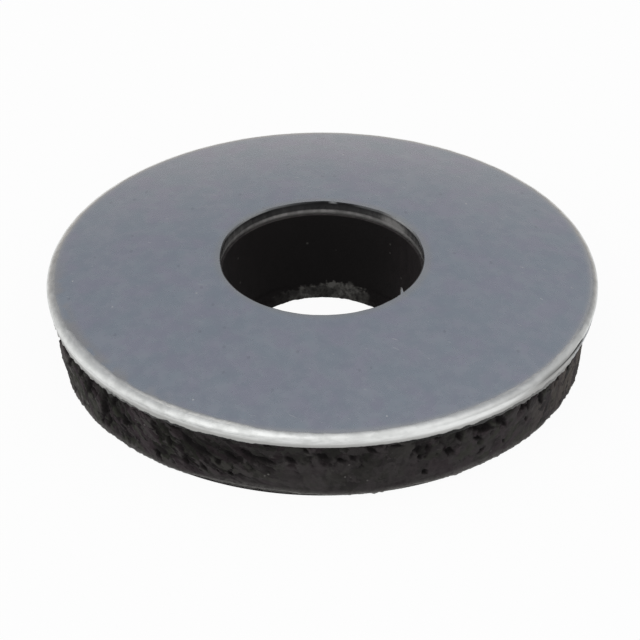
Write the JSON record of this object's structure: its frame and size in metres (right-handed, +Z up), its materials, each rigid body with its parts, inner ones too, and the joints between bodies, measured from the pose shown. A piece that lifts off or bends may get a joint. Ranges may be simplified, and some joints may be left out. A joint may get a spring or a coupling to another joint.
{
  "type": "bonded sealing washer",
  "caption": "Dished steel washer with a ring of black rubber bonded underneath, which seals the hole of a roofing or cladding screw.",
  "frame": {"origin": "on the screw's axis, at the height of the flat rubber face that the washer rests on", "axes": "+Z up along the screw's axis, towards the screw's head; X and Y lie in the resting plane and are interchangeable"},
  "size_m": [0.016, 0.016, 0.0031],
  "materials": {
    "zinc_plated_steel": "satin",
    "black_rubber": "matt, torn where it was punched"
  },
  "bodies": {
    "root": {"metal_washer": "zinc_plated_steel", "rubber_seal": "black_rubber"}
  },
  "joints": []
}
